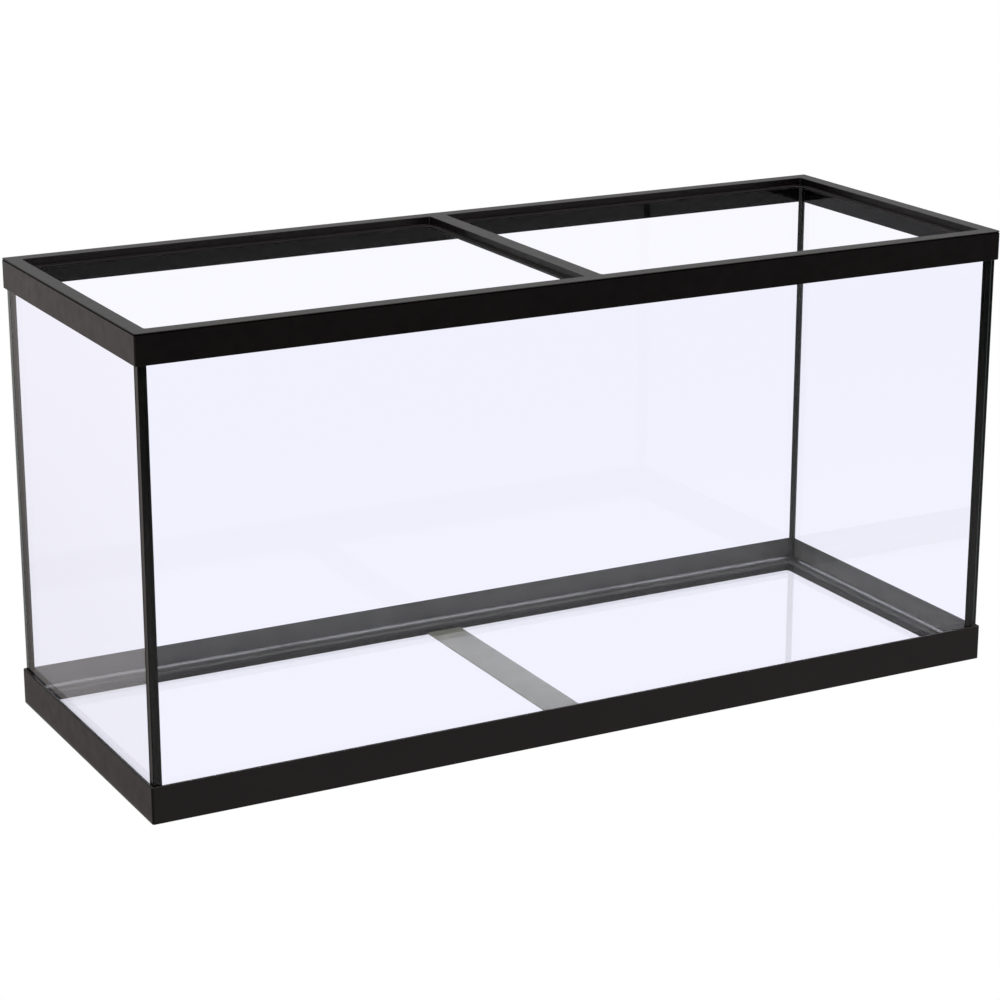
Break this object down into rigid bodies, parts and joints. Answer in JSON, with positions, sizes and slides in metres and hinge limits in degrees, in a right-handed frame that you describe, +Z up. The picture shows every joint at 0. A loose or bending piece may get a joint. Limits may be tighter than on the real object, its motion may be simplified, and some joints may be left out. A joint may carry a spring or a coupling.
{
  "type": "glass aquarium tank",
  "caption": "Long rectangular glass fish tank with black moulded top and base frames, a centre brace, black silicone seams and a pale cross strip under the floor.",
  "frame": {"origin": "centre of the footprint, on the surface that the tank stands on", "axes": "+X along the tank towards its right end, +Y from the front pane to the back pane, +Z up"},
  "size_m": [1.227, 0.465, 0.605],
  "materials": {
    "glass": "clear float glass with ground edges",
    "frame_plastic": "satin moulded",
    "strip_plastic": "satin moulded",
    "silicone": "cured silicone, tooled by hand"
  },
  "bodies": {
    "root": {"front_pane": "glass", "back_pane": "glass", "left_pane": "glass", "right_pane": "glass", "bottom_pane": "glass", "top_front_rail": "frame_plastic", "top_back_rail": "frame_plastic", "top_left_rail": "frame_plastic", "top_right_rail": "frame_plastic", "top_center_brace": "frame_plastic", "base_front_rail": "frame_plastic", "base_back_rail": "frame_plastic", "base_left_rail": "frame_plastic", "base_right_rail": "frame_plastic", "base_cross_strip": "strip_plastic", "joint_front_left": "silicone", "joint_front_right": "silicone", "joint_back_left": "silicone", "joint_back_right": "silicone", "bottom_joint": "silicone", "corner_bead_front_left": "silicone", "corner_bead_front_right": "silicone", "corner_bead_back_left": "silicone", "corner_bead_back_right": "silicone", "bottom_bead_front": "silicone", "bottom_bead_back": "silicone", "bottom_bead_left": "silicone", "bottom_bead_right": "silicone", "top_frame_bond": "silicone", "base_frame_bond": "silicone"}
  },
  "joints": []
}
